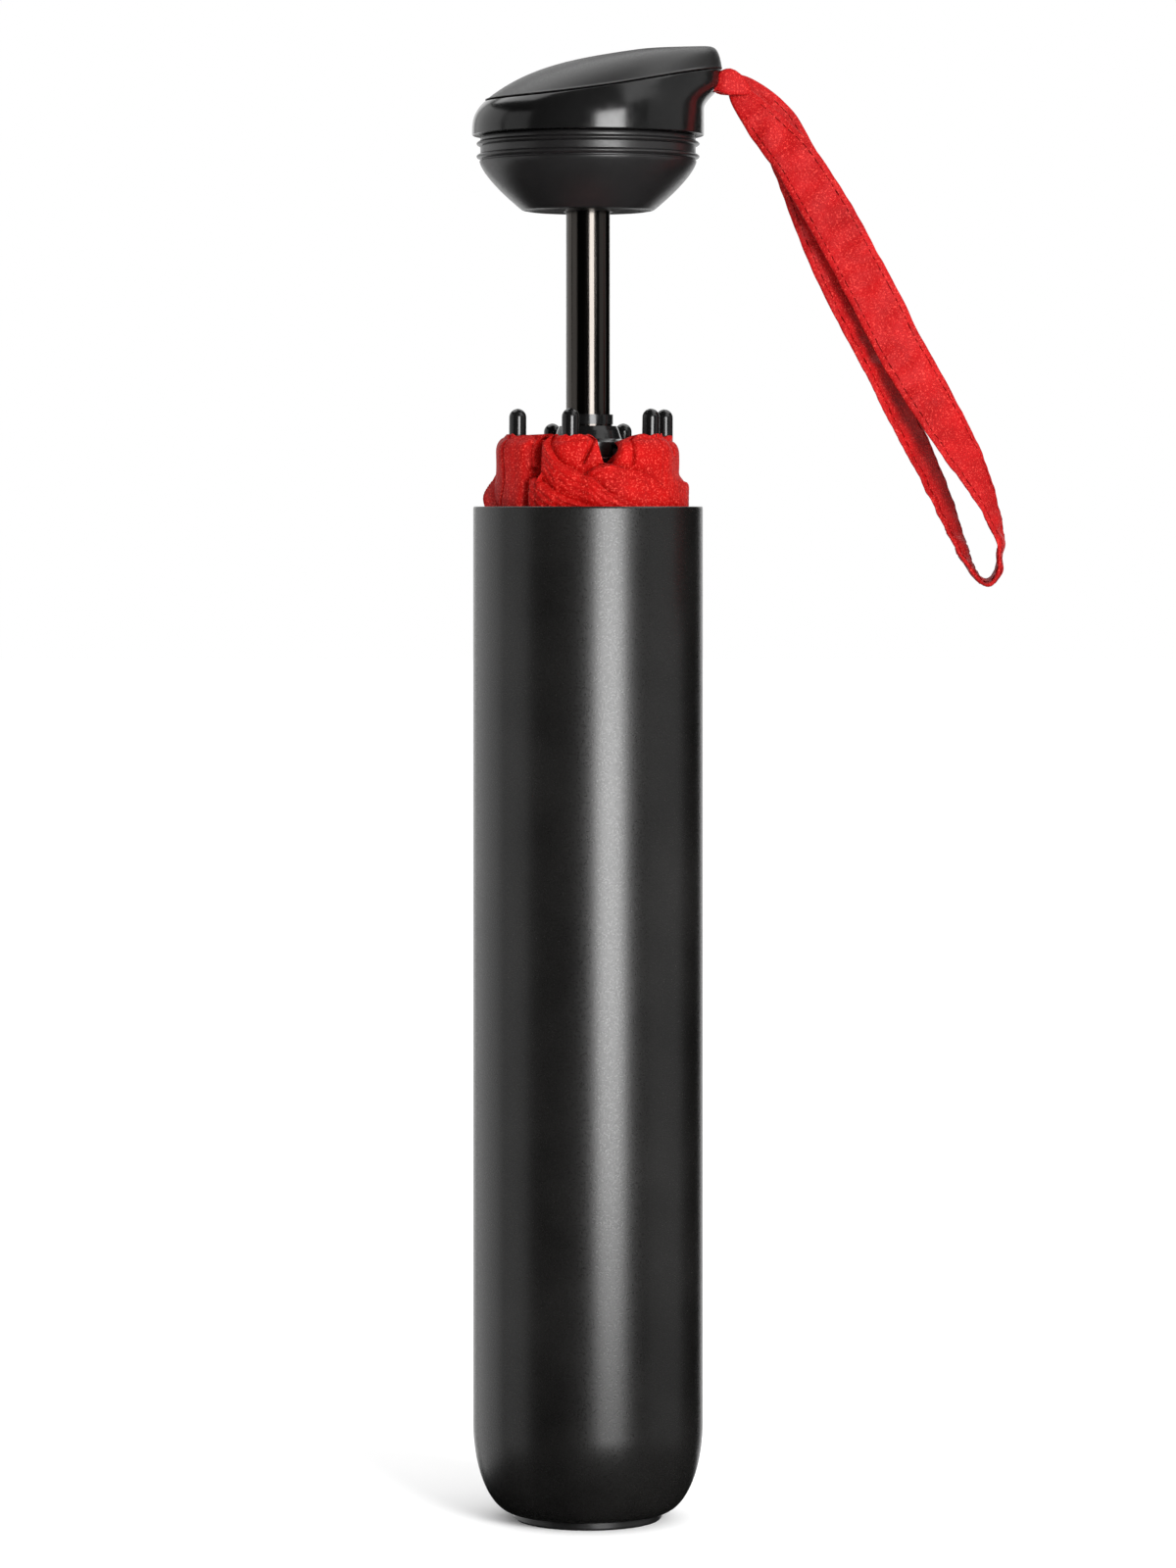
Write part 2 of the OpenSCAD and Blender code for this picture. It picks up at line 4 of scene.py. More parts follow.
import bmesh
import bpy
import numpy as np
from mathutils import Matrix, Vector


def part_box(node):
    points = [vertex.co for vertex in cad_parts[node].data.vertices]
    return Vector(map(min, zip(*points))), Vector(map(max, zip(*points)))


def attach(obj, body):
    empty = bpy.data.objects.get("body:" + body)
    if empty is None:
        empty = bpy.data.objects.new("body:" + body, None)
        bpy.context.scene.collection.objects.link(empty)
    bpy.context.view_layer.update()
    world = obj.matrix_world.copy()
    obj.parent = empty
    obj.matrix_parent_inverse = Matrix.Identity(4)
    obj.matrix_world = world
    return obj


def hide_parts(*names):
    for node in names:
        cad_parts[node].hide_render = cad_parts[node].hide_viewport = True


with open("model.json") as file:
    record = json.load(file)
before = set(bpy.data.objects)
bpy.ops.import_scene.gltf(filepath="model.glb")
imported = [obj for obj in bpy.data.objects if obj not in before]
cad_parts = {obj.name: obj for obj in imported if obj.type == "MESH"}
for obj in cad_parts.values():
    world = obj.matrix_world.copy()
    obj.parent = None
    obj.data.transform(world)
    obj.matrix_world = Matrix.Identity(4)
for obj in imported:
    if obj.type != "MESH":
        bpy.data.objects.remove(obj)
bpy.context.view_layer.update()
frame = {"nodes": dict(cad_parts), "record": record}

MM = 0.001
scene = bpy.context.scene

# ---------------------------------------------------------------- camera, floor and light

CAMERA_DISTANCE = 1.25
LENS_MM = 126.7
SENSOR_MM = 36
# The photograph's horizon is level with the case mouth, above the middle of the picture.
HORIZON_SHIFT = -0.177
FLOOR_SIZE = 14
LIGHT_TARGET = (0, 0, 0.17)


def area_light(name, place, size, power, diffuse=True, glossy=True):
    """A soft rectangular light at place, turned to LIGHT_TARGET. size is (width, height)."""
    data = bpy.data.lights.new(name, "AREA")
    data.shape = "RECTANGLE"
    data.size, data.size_y = size
    data.energy = power
    lamp = bpy.data.objects.new(name, data)
    lamp.location = place
    lamp.rotation_euler = (Vector(LIGHT_TARGET) - Vector(place)).to_track_quat("-Z", "Y").to_euler()
    lamp.visible_camera = False
    lamp.visible_diffuse = diffuse
    lamp.visible_glossy = glossy
    scene.collection.objects.link(lamp)


def around(azimuth, distance, height):
    """A point at an azimuth, in degrees to the right of the camera's side of the object."""
    a = math.radians(azimuth)
    return (distance * math.sin(a), -distance * math.cos(a), height)


def make_stage():
    """The camera level with the case mouth, the floor, the world and the lights."""
    mouth_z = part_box("case_tube")[1].z
    data = bpy.data.cameras.new("camera")
    data.lens = LENS_MM
    data.sensor_width = SENSOR_MM
    data.shift_y = HORIZON_SHIFT
    camera = bpy.data.objects.new("camera", data)
    camera.location = (0, -CAMERA_DISTANCE, mouth_z)
    camera.rotation_euler = (math.radians(90), 0, 0)
    scene.collection.objects.link(camera)
    scene.camera = camera

    bpy.ops.mesh.primitive_plane_add(size=FLOOR_SIZE, location=(0, 0, 0))
    floor = bpy.context.object
    floor.name = "floor"
    floor.visible_glossy = False
    _, _, shader = new_material("floor_white")
    shader.inputs["Base Color"].default_value = (0.97, 0.97, 0.97, 1)
    shader.inputs["Roughness"].default_value = 0.9
    shader.inputs["Specular IOR Level"].default_value = 0
    floor.data.materials.append(MATERIALS["floor_white"])

    make_world(seen=1.0, ambient=1.12, reflected=0.01)
    scene.view_settings.view_transform = "Standard"
    scene.view_settings.look = "None"

    # Banks of light that are only mirrored, and one that only lights the surfaces
    for name, place, size, power in (
            ("key", around(22, 1.3, 0.235), (0.64, 0.67), 21),
            ("left_bank", around(-122, 1.1, 0.25), (1.1, 1.3), 4.4),
            ("left_inner", around(-76, 1.3, 0.25), (0.7, 1.3), 2.0),
            ("right_fill", around(84, 1.3, 0.3), (1.1, 1.2), 1.9),
            ("right_rim", around(165, 1.2, 0.3), (0.5, 1.2), 2.5),
            ("left_rim", around(-165, 1.2, 0.3), (0.5, 1.2), 2.5),
            ("overhead", (0.05, 0.4, 1.3), (1.9, 1.2), 17),
            ("front_top", around(58, 1, 1.1), (1, 0.9), 5)):
        area_light(name, place, size, power, diffuse=False)
    area_light("front_soft", around(30, 1.3, 0.5), (0.6, 0.6), 25, glossy=False)


def make_world(seen, ambient, reflected):
    """A white studio: what the camera sees, what lights the surfaces and what they mirror are set apart."""
    world = bpy.data.worlds.new("studio")
    world.use_nodes = True
    nodes, links = world.node_tree.nodes, world.node_tree.links
    nodes.clear()
    out = nodes.new("ShaderNodeOutputWorld")
    rays = nodes.new("ShaderNodeLightPath")

    def background(strength):
        shade = nodes.new("ShaderNodeBackground")
        shade.inputs["Color"].default_value = (1, 1, 1, 1)
        shade.inputs["Strength"].default_value = strength
        return shade.outputs["Background"]

    def choose(ray, otherwise, chosen):
        mix = nodes.new("ShaderNodeMixShader")
        links.new(rays.outputs[ray], mix.inputs["Fac"])
        links.new(otherwise, mix.inputs[1])
        links.new(chosen, mix.inputs[2])
        return mix.outputs["Shader"]

    lit = choose("Is Glossy Ray", background(ambient), background(reflected))
    links.new(choose("Is Camera Ray", lit, background(seen)), out.inputs["Surface"])
    scene.world = world


# ---------------------------------------------------------------- materials

MATERIALS = {}
# The range that most of a noise texture's values fall in
NOISE_LOW, NOISE_HIGH = 0.3, 0.7
COLOUR_VARIATION = 0.3


def new_material(name):
    """Puts a new material in MATERIALS, and returns its nodes, links and main shader."""
    m = MATERIALS[name] = bpy.data.materials.new(name)
    m.use_nodes = True
    return m.node_tree.nodes, m.node_tree.links, m.node_tree.nodes["Principled BSDF"]


def noise(nodes, links, scale, detail, stretch=None):
    """A grey noise in object coordinates, scale in cycles per metre."""
    coords = nodes.new("ShaderNodeTexCoord")
    texture = nodes.new("ShaderNodeTexNoise")
    texture.inputs["Scale"].default_value = scale
    texture.inputs["Detail"].default_value = detail
    if stretch is None:
        links.new(coords.outputs["Object"], texture.inputs["Vector"])
    else:
        mapping = nodes.new("ShaderNodeMapping")
        mapping.inputs["Scale"].default_value = stretch
        links.new(coords.outputs["Object"], mapping.inputs["Vector"])
        links.new(mapping.outputs["Vector"], texture.inputs["Vector"])
    return texture.outputs["Fac"]


def spread(nodes, links, source, low, high, start=NOISE_LOW, end=NOISE_HIGH):
    """Maps a grey texture onto the numbers low to high."""
    remap = nodes.new("ShaderNodeMapRange")
    remap.inputs["From Min"].default_value = start
    remap.inputs["From Max"].default_value = end
    remap.inputs["To Min"].default_value = low
    remap.inputs["To Max"].default_value = high
    links.new(source, remap.inputs["Value"])
    return remap.outputs["Result"]


def tint(nodes, links, source, dark, light):
    """Maps a grey texture onto the colours dark to light."""
    ramp = nodes.new("ShaderNodeValToRGB")
    ramp.color_ramp.elements[0].position = NOISE_LOW
    ramp.color_ramp.elements[0].color = (*dark, 1)
    ramp.color_ramp.elements[1].position = NOISE_HIGH
    ramp.color_ramp.elements[1].color = (*light, 1)
    links.new(source, ramp.inputs["Fac"])
    return ramp.outputs["Color"]


def bump(nodes, links, shader, height, distance, strength=1.0, below=None):
    """Raises the surface by a grey texture, on top of the bump below where there is one."""
    node = nodes.new("ShaderNodeBump")
    node.inputs["Distance"].default_value = distance
    node.inputs["Strength"].default_value = strength
    links.new(height, node.inputs["Height"])
    if below is not None:
        links.new(below.outputs["Normal"], node.inputs["Normal"])
    links.new(node.outputs["Normal"], shader.inputs["Normal"])
    return node


def moulded(name, colour, roughness, grain_scale, grain_depth, specular=0.5):
    """Lacquer, plastic or rubber: slightly uneven colour and gloss, and a fine grain in the surface."""
    nodes, links, shader = new_material(name)
    blotches = noise(nodes, links, scale=40, detail=3)
    lighter = tuple(c * (1 + COLOUR_VARIATION) + 0.002 for c in colour)
    darker = tuple(c * (1 - COLOUR_VARIATION) for c in colour)
    links.new(tint(nodes, links, blotches, darker, lighter), shader.inputs["Base Color"])
    grain = noise(nodes, links, grain_scale, detail=2)
    links.new(spread(nodes, links, grain, roughness * 0.85, roughness * 1.15), shader.inputs["Roughness"])
    shader.inputs["Specular IOR Level"].default_value = specular
    bump(nodes, links, shader, grain, grain_depth)


def plated_tube(name, colour, roughness):
    """Dark plated metal with faint drawing lines along Z."""
    nodes, links, shader = new_material(name)
    lines = noise(nodes, links, scale=60, detail=3, stretch=(40, 40, 0.6))
    darker, lighter = (tuple(c * share for c in colour) for share in (0.85, 1.15))
    links.new(tint(nodes, links, lines, darker, lighter), shader.inputs["Base Color"])
    links.new(spread(nodes, links, lines, roughness * 0.8, roughness * 1.25), shader.inputs["Roughness"])
    shader.inputs["Metallic"].default_value = 1
    bump(nodes, links, shader, lines, distance=0.00001)


def woven(name, dark, light, thread, depth, roughness, specular, painted_glint=0.0):
    """Cloth: crossed threads that repeat every 2 pi threads, soft blotches, fuzz, and painted glints where
    asked.
    """
    nodes, links, shader = new_material(name)
    coords = nodes.new("ShaderNodeTexCoord")
    weave = nodes.new("ShaderNodeMath")
    weave.operation = "ADD"
    for socket, axis in enumerate(("X", "Z")):
        wave = nodes.new("ShaderNodeTexWave")
        wave.bands_direction = axis
        # At a scale of 1 the texture has 20 waves in 2 pi metres
        wave.inputs["Scale"].default_value = 1 / thread / 20
        wave.inputs["Distortion"].default_value = 0.6
        links.new(coords.outputs["UV"], wave.inputs["Vector"])
        links.new(wave.outputs["Fac"], weave.inputs[socket])
    colour = tint(nodes, links, noise(nodes, links, scale=160, detail=4), dark, light)
    # Painted glints: sparse lighter orange-red specks mixed into the base colour stand in for light glinting
    # off the threads
    if painted_glint:
        glints = spread(nodes, links, noise(nodes, links, scale=2500, detail=1), 0, painted_glint, 0.56, 0.72)
        mix = nodes.new("ShaderNodeMix")
        mix.data_type = "RGBA"
        # Sockets 6 and 7 and output 2 are the ones for colours
        links.new(glints, mix.inputs[0])
        links.new(colour, mix.inputs[6])
        mix.inputs[7].default_value = (0.75, light[1] + 0.07, light[2] + 0.05, 1)
        colour = mix.outputs[2]
    links.new(colour, shader.inputs["Base Color"])
    shader.inputs["Roughness"].default_value = roughness
    shader.inputs["Specular IOR Level"].default_value = specular
    fuzz = bump(nodes, links, shader, noise(nodes, links, scale=1600, detail=2), distance=0.00012)
    bump(nodes, links, shader, weave.outputs[0], depth, strength=0.6, below=fuzz)


def make_materials():
    """One material for each slot in the record, and the strap's thread."""
    moulded("case_lacquer", (0.004, 0.0037, 0.0034), 0.3, grain_scale=2600, grain_depth=0.000012)
    moulded("foot_rubber", (0.006, 0.006, 0.006), 0.35, grain_scale=1500, grain_depth=0.00002)
    moulded("gloss_black", (0.003, 0.003, 0.003), 0.19, grain_scale=500, grain_depth=0.000004, specular=0.4)
    moulded("satin_black", (0.006, 0.0057, 0.0057), 0.42, grain_scale=2600, grain_depth=0.000012,
            specular=0.42)
    moulded("plug_rubber", (0.007, 0.0065, 0.0067), 0.33, grain_scale=1800, grain_depth=0.00002)
    plated_tube("dark_steel", (0.062, 0.056, 0.051), 0.15)
    plated_tube("rib_steel", (0.25, 0.25, 0.25), 0.3)
    plated_tube("bright_steel", (0.6, 0.6, 0.62), 0.25)
    # The canopy and the strap get painted glints: lighter specks in their colour that stand in for light
    # glinting off the threads
    woven("canopy_cloth", (0.205, 0.0009, 0.0007), (0.305, 0.0024, 0.0018), thread=0.0004, depth=0.00007,
          roughness=0.6, specular=0.06, painted_glint=0.5)
    woven("strap_ribbon", (0.2, 0.0014, 0.002), (0.29, 0.0038, 0.0045), thread=0.0003, depth=0.00004,
          roughness=0.5, specular=0.07, painted_glint=0.35)
    woven("strap_thread", (0.07, 0.0005, 0.0007), (0.11, 0.001, 0.001), thread=0.0002, depth=0.00002,
          roughness=0.8, specular=0.03)


# ---------------------------------------------------------------- mesh helpers

def finish_piece(obj, body, slot, material=None, replaces=()):
    """Gives a piece its material, and says which body it rides on and which CAD nodes it replaces."""
    obj.data.materials.clear()
    obj.data.materials.append(MATERIALS[material or slot])
    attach(obj, body)
    if replaces:
        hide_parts(*replaces)


def mesh_object(name, points, faces, uvs=None, smooth=True):
    """A new object with all its faces turned outwards. uvs has one row for each point."""
    data = bpy.data.meshes.new(name)
    data.from_pydata([tuple(p) for p in points], [], faces)
    if uvs is not None:
        layer = data.uv_layers.new(name="UVMap")
        index = np.empty(len(data.loops), int)
        data.loops.foreach_get("vertex_index", index)
        layer.data.foreach_set("uv", np.asarray(uvs, np.float32)[index].ravel())
    obj = bpy.data.objects.new(name, data)
    scene.collection.objects.link(obj)
    tidy = bmesh.new()
    tidy.from_mesh(data)
    bmesh.ops.recalc_face_normals(tidy, faces=tidy.faces)
    tidy.to_mesh(data)
    tidy.free()
    data.polygons.foreach_set("use_smooth", [smooth] * len(data.polygons))
    return obj


def grid_faces(rows, columns, wrap_rows=False):
    """Quads over rings of points stored row by row, each row closed on itself."""
    faces = []
    for j in range(rows if wrap_rows else rows - 1):
        this, after = j * columns, (j + 1) % rows * columns
        for i in range(columns):
            k = (i + 1) % columns
            faces.append((this + i, this + k, after + k, after + i))
    return faces


def lathe(name, profile, sides=160, closed=False):
    """Turns a profile of (radius, height) in metres about Z. closed joins its two ends."""
    points = []
    turn = [2 * math.pi * i / sides for i in range(sides)]
    for r, z in profile:
        points += [(r * math.cos(a), r * math.sin(a), z) for a in turn]
    obj = mesh_object(name, points, grid_faces(len(profile), sides, wrap_rows=closed))
    weld = bmesh.new()
    weld.from_mesh(obj.data)
    bmesh.ops.remove_doubles(weld, verts=weld.verts, dist=0.00001)
    weld.to_mesh(obj.data)
    weld.free()
    return obj


def rounded(corners, radius, steps=4):
    """A (r, z) outline with each inner corner rounded by about radius."""
    out = [corners[0]]
    for before, corner, after in zip(corners, corners[1:], corners[2:]):
        b, c, a = Vector(before), Vector(corner), Vector(after)
        cut = min(radius, (b - c).length * 0.45, (a - c).length * 0.45)
        p, q = c + (b - c).normalized() * cut, c + (a - c).normalized() * cut
        for k in range(steps + 1):
            t = k / steps
            out.append(tuple(p.lerp(c, t).lerp(c.lerp(q, t), t)))
    out.append(corners[-1])
    return out


def quarter_turn(steps, first=1):
    """Angles in equal steps up to 90 degrees."""
    return [math.radians(90 * k / steps) for k in range(first, steps + 1)]


def smooth_step(t):
    """Rises from 0 to 1 as t does, level at both ends."""
    t = np.clip(t, 0, 1)
    return t * t * (3 - 2 * t)


def loft(name, rings):
    """A skin through rings of points, capped at both ends."""
    obj = mesh_object(name, np.concatenate(rings), grid_faces(len(rings), len(rings[0])))
    caps = bmesh.new()
    caps.from_mesh(obj.data)
    bmesh.ops.holes_fill(caps, edges=[e for e in caps.edges if e.is_boundary])
    bmesh.ops.recalc_face_normals(caps, faces=caps.faces)
    caps.to_mesh(obj.data)
    caps.free()
    return obj


def join(pieces):
    """One object holding the meshes of all the pieces."""
    whole = bmesh.new()
    for piece in pieces:
        whole.from_mesh(piece.data)
    whole.to_mesh(pieces[0].data)
    whole.free()
    for piece in pieces[1:]:
        bpy.data.objects.remove(piece)
    return pieces[0]


def box_cutter(low, high):
    """A plain box between two corners, to cut with."""
    corners = [(x, y, z) for x in (low[0], high[0]) for y in (low[1], high[1]) for z in (low[2], high[2])]
    faces = [(0, 1, 3, 2), (4, 6, 7, 5), (0, 4, 5, 1), (2, 3, 7, 6), (0, 2, 6, 4), (1, 5, 7, 3)]
    return mesh_object("cutter", corners, faces, smooth=False)


def cut(obj, tool):
    """Cuts tool out of obj for good."""
    step = obj.modifiers.new("cut", "BOOLEAN")
    step.operation = "DIFFERENCE"
    step.solver = "EXACT"
    step.object = tool
    seen = obj.evaluated_get(bpy.context.evaluated_depsgraph_get())
    made = bpy.data.meshes.new_from_object(seen)
    obj.modifiers.clear()
    obj.data = made
    bpy.data.objects.remove(tool)


# ---------------------------------------------------------------- the case

CASE_WALL, CASE_BOTTOM = 0.7 * MM, 1.4 * MM
# The rounded bottom: its height, and the radius of the flat that it ends in
ROUND_H, FLAT_R = 20 * MM, 17 * MM
STEM_R = 3 * MM
# The lip's rounded edge: mm in from the outside and down from the mouth
CASE_LIP = ((0, 0.5), (0.05, 0.2), (0.2, 0), (0.5, 0), (0.7, 0.2), (0.7, 0.6))


def make_case():
    """The case as one turned shell: rounded bottom, straight wall, rounded lip, hole for the foot's stem."""
    low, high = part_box("case_tube")
    r = high.x

    def rounded_bottom(outer_r, base, height):
        return [(outer_r - (r - FLAT_R) * (1 - math.sin(a)), base + (1 - math.cos(a)) * height)
                for a in quarter_turn(24, first=0)]

    outside = rounded_bottom(r, low.z, ROUND_H)
    inside = rounded_bottom(r - CASE_WALL, low.z + CASE_BOTTOM, ROUND_H - CASE_BOTTOM)
    lip = [(r - inward * MM, high.z - down * MM) for inward, down in CASE_LIP]
    profile = [(STEM_R, low.z)] + outside + lip + inside[::-1] + [(STEM_R, low.z + CASE_BOTTOM)]
    case = lathe("case_shell", profile, sides=192, closed=True)
    finish_piece(case, "case", "case_lacquer", replaces=["case_tube"])


# ---------------------------------------------------------------- the handle

# The seam is nearly round with a beak on the right, where it is highest, and dips at the sides.
SEAM_LEFT, SEAM_RIGHT = -23.3 * MM, 30.4 * MM
SEAM_LOW, SEAM_HIGH = 7.8 * MM, 15 * MM
SEAM_DIP = 1.8 * MM
BEAK_HALF_ANGLE = math.radians(30)
# Shares of the wall's height: where the beak starts to flare out, and over how much
FLARE_FROM, FLARE_OVER = 0.4, 0.42
FLANGE_R = 26.3 * MM
# The lid: its rise at the beak, how much higher it stands elsewhere, half its width, and its middle
LID_RISE, LID_HUMP, LID_HALF_W, LID_PEAK_X = 5.6 * MM, 1.1 * MM, 24.5 * MM, 14 * MM
HUMP_END_X, HUMP_END_L = 11 * MM, 16 * MM
# The dome's power, higher for squarer shoulders: at the left, what the right adds, and what the beak adds
POWER_LEFT, POWER_RIGHT, POWER_BEAK = 3.8, 1.1, 14
# At the seam: the gap on each side of it, the rounding of the edges, and how far in the ledges reach
SEAM_GAP, EDGE_R, LEDGE = 0.07 * MM, 0.22 * MM, 3 * MM
UNDERSIDE = 8 * MM
HANDLE_SIDES = 192
HANDLE_ANGLES = np.arange(HANDLE_SIDES) * 2 * math.pi / HANDLE_SIDES


def beak(a):
    """1 in the middle of the beak, falling to 0 on both sides of it."""
    away = (np.asarray(a) + math.pi) % (2 * math.pi) - math.pi
    return np.exp(-(away / BEAK_HALF_ANGLE) ** 2)


def seam_outline(a):
    """x and y of the seam at angle a."""
    off_centre = LID_HALF_W + SEAM_LEFT
    r = LID_HALF_W + off_centre * np.cos(a) + (SEAM_RIGHT - LID_HALF_W - off_centre) * beak(a)
    return r * np.cos(a), r * np.sin(a)


def seam_height(a, s=1.0):
    """Height of the seam's surface above the flange, at angle a and share s of the way out to the seam."""
    x = LID_PEAK_X + s * (seam_outline(a)[0] - LID_PEAK_X)
    plane = SEAM_LOW + (SEAM_HIGH - SEAM_LOW) * (x - SEAM_LEFT) / (SEAM_RIGHT - SEAM_LEFT)
    return plane - SEAM_DIP * (s * np.sin(a)) ** 2


def body_ring(a, t, inset, flange_z):
    """Ring t of the handle's wall, 0 at the flange and 1 at the seam, drawn in by inset."""
    x1, y1 = seam_outline(a)
    w = np.sqrt(beak(a))
    e = w * smooth_step((t - FLARE_FROM) / FLARE_OVER) + (1 - w) * t ** 3
    x = FLANGE_R * np.cos(a) * (1 - e) + x1 * e
    y = FLANGE_R * np.sin(a) * (1 - e) + y1 * e
    shrink = 1 - inset / np.hypot(x, y)
    return np.stack([x * shrink, y * shrink, flange_z + t * seam_height(a)], axis=1)


def lid_ring(a, s, flange_z, inset=0.0):
    """Ring s of the lid's top, 1 at the seam and 0 in the middle, drawn in by inset."""
    x1, y1 = seam_outline(a)
    s = s - inset / np.hypot(x1 - LID_PEAK_X, y1)
    x = LID_PEAK_X + s * (x1 - LID_PEAK_X)
    power = POWER_LEFT + POWER_RIGHT * (1 + np.cos(a)) + POWER_BEAK * beak(a)
    rise = LID_RISE + LID_HUMP * (1 - smooth_step((x - HUMP_END_X) / HUMP_END_L))
    z = flange_z + seam_height(a, s) + rise * (1 - np.clip(s, 0, 1) ** power)
    return np.stack([x, s * y1, z], axis=1)


def make_handle_body():
    """Underside, rounded flange edge, wall, rounded top edge, ledge under the lid, and the strap's slot."""
    flange_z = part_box("handle_body")[0].z
    a = HANDLE_ANGLES
    rings = [body_ring(a, 0, UNDERSIDE, flange_z), body_ring(a, 0, EDGE_R, flange_z)]
    for turn in quarter_turn(4):
        rings.append(body_ring(a, 0, EDGE_R * (1 - math.sin(turn)), flange_z + EDGE_R * (1 - math.cos(turn))))
    wall_top, ledge_top = 0.97, 0.985
    for t in np.linspace(0.05, wall_top, 34):
        rings.append(body_ring(a, t, 0, flange_z + EDGE_R * (1 - t) - SEAM_GAP * t))
    for turn in quarter_turn(3):
        rings.append(body_ring(a, wall_top + 0.02 * math.sin(turn), EDGE_R * (1 - math.cos(turn)),
                               flange_z - SEAM_GAP))
    rings.append(body_ring(a, ledge_top, LEDGE, flange_z - SEAM_GAP))
    body = loft("handle_shell", rings)
    slot_low, slot_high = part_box("strap_anchor")
    margin, past_beak = 0.3 * MM, 40 * MM
    cut(body, box_cutter((slot_low.x, slot_low.y - margin, slot_low.z - margin),
                         (past_beak, slot_high.y + margin, slot_high.z + margin)))
    finish_piece(body, "handle", "gloss_black", replaces=["handle_body"])


def make_lid():
    """Ledge, rounded lower edge and dome."""
    flange_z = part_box("handle_body")[0].z
    a = HANDLE_ANGLES
    seam_z = flange_z + seam_height(a) + SEAM_GAP
    rings = [lid_ring(a, 1, flange_z, LEDGE)]
    rings[0][:, 2] = seam_z
    for turn in quarter_turn(4, first=0):
        ring = lid_ring(a, 1, flange_z, EDGE_R * (1 - math.sin(turn)))
        ring[:, 2] = seam_z + EDGE_R * (1 - math.cos(turn))
        rings.append(ring)
    for s in np.concatenate([np.linspace(0.995, 0.9, 12), np.linspace(0.88, 0.04, 34)]):
        ring = lid_ring(a, s, flange_z)
        lowest = flange_z + seam_height(a, s) + SEAM_GAP + EDGE_R
        ring[:, 2] = np.maximum(ring[:, 2], lowest)
        rings.append(ring)
    lid = loft("lid_shell", rings)
    finish_piece(lid, "handle", "satin_black", replaces=["handle_lid"])


# ---------------------------------------------------------------- the stopper

# In mm: radius and depth below the flange of the bowl's rim and of the flat round the tube
RIM_R, RIM_D = 24.6, 5.9
PLUG_FLAT_R, PLUG_FLAT_D = 14.5, 17.3
NECK_R, LIP_ROOT_R, LIP_TIP_R = 24.4, 24.2, 25.25
BOWL_POWER = 1.4


def make_plug():
    """The stopper's bowl and its two sealing lips, from the flange's underside down."""
    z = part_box("handle_body")[0].z
    bore_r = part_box("handle_tube")[1].x / MM + 0.1

    def below(points):
        return [(r * MM, z - d * MM) for r, d in points]

    neck = [(18, 0), (NECK_R, 0), (NECK_R, RIM_D - 0.2)]
    side = [(PLUG_FLAT_R + (RIM_R - PLUG_FLAT_R) * (1 - u ** BOWL_POWER), RIM_D + u * (PLUG_FLAT_D - RIM_D))
            for u in np.linspace(0, 0.97, 22)]
    flat = [(PLUG_FLAT_R - 1.6, PLUG_FLAT_D), (bore_r, PLUG_FLAT_D), (bore_r, PLUG_FLAT_D - 1.5)]
    bowl = lathe("plug_bowl", rounded(below(neck + side + flat), 0.9 * MM))
    finish_piece(bowl, "handle", "plug_rubber", replaces=["handle_plug"])

    for name, node, depth, root_h, tip_h in (("seal_lip_upper", "seal_ring_upper", 1.9, 0.75, 0.4),
                                             ("seal_lip_lower", "seal_ring_lower", 4.8, 0.8, 0.4)):
        half = [(LIP_ROOT_R, root_h), (LIP_TIP_R - 0.25, tip_h), (LIP_TIP_R, tip_h * 0.3)]
        outline = [(r, depth - h) for r, h in half] + [(r, depth + h) for r, h in half[::-1]]
        ring = lathe(name, rounded(below(outline), 0.25 * MM))
        finish_piece(ring, "handle", "plug_rubber", replaces=[node])


# ---------------------------------------------------------------- the canopy

# The canopy's outermost turn, the only one in sight, laid flat: once round, and from crown to rib tips
# Where each rib tip has settled: degrees from the front, to the right
TIP_AZIMUTHS = (-66, -13, 55, 92, 152, 208)
TIP_CIRCLE = 17.3 * MM
TIP_R = 1.95 * MM
# The roll, in mm: its radius, that of its gathered end, and the one that turns angles into lengths
ROLL_R, CROWN_R, ARC_R = 22, 5, 21
MM_PER_DEGREE = 0.37
# The edges that spiral down the roll: their lean in radians, their spacing and their step in mm
SPIRAL_LEAN, SPIRAL_PITCH, SPIRAL_STEP = 0.75, 15.5, 1.7
# The height above the mouth, in mm, from which the rows of points are close together
FINE_FROM = -8
# Gaps between the pockets: azimuth and half width where each closes, the same at the top, depth in mm, and
# the height where it closes
GAPS = (
    (-35, 2.2, -33.8, 4.4, 10, 6.2), (12.9, 1.2, 15.8, 9, 12, 9.3), (72, 1, 74, 5, 3, 11),
    (121, 3, 122, 9, 9, 7), (180, 3, 180, 9, 9, 5), (252, 4, 251, 12, 9, 5))
GAP_RISE = 6.5              # mm over which a gap widens to its width at the top
OPEN_GAP = 5                # mm, the least depth at which a gap is open at the top
GAP_FLOOR_R, GAP_DROP = 9.6, 6      # mm, where the cloth ends in an open gap: radius, and drop from its rim
CLOSING_ROWS = 16
# Free edges of the flaps, which spiral down to the right round the roll: azimuth and height above the mouth.
# The first number is how softly the flap starts, in degrees.
FLAPS = (
    (1.6, (-38.4, 7.6), (-35.9, 7.2), (-25, 4.7), (-12.4, 1.9), (0, 0.2), (16, -2.4)),
    (0.8, (-31.1, 16.5), (-25, 13.5), (-18.2, 10), (-8.6, 7.9), (2.8, 6.1), (11.3, 3.3), (21, 1.6), (31, 0)),
    (9, (-6, 6.6), (4.7, 8.9), (13.2, 9.7), (22.1, 8.9), (35, 7.9), (50.1, 3.7), (57, 1.6), (68, 0)),
    (40, (78, 6.3), (92, 5.5), (104, 3.5), (122, 1.2), (140, -1.5)),
    (6, (134, 16), (140, 12), (150, 8.5), (165, 5), (185, 1)),
    (6, (195, 15), (202, 11), (214, 7.5), (230, 4.5), (250, 1.5)),
    (30, (250, 10.5), (258, 7.5), (268, 4.8), (281, 1.5), (290, -1)))
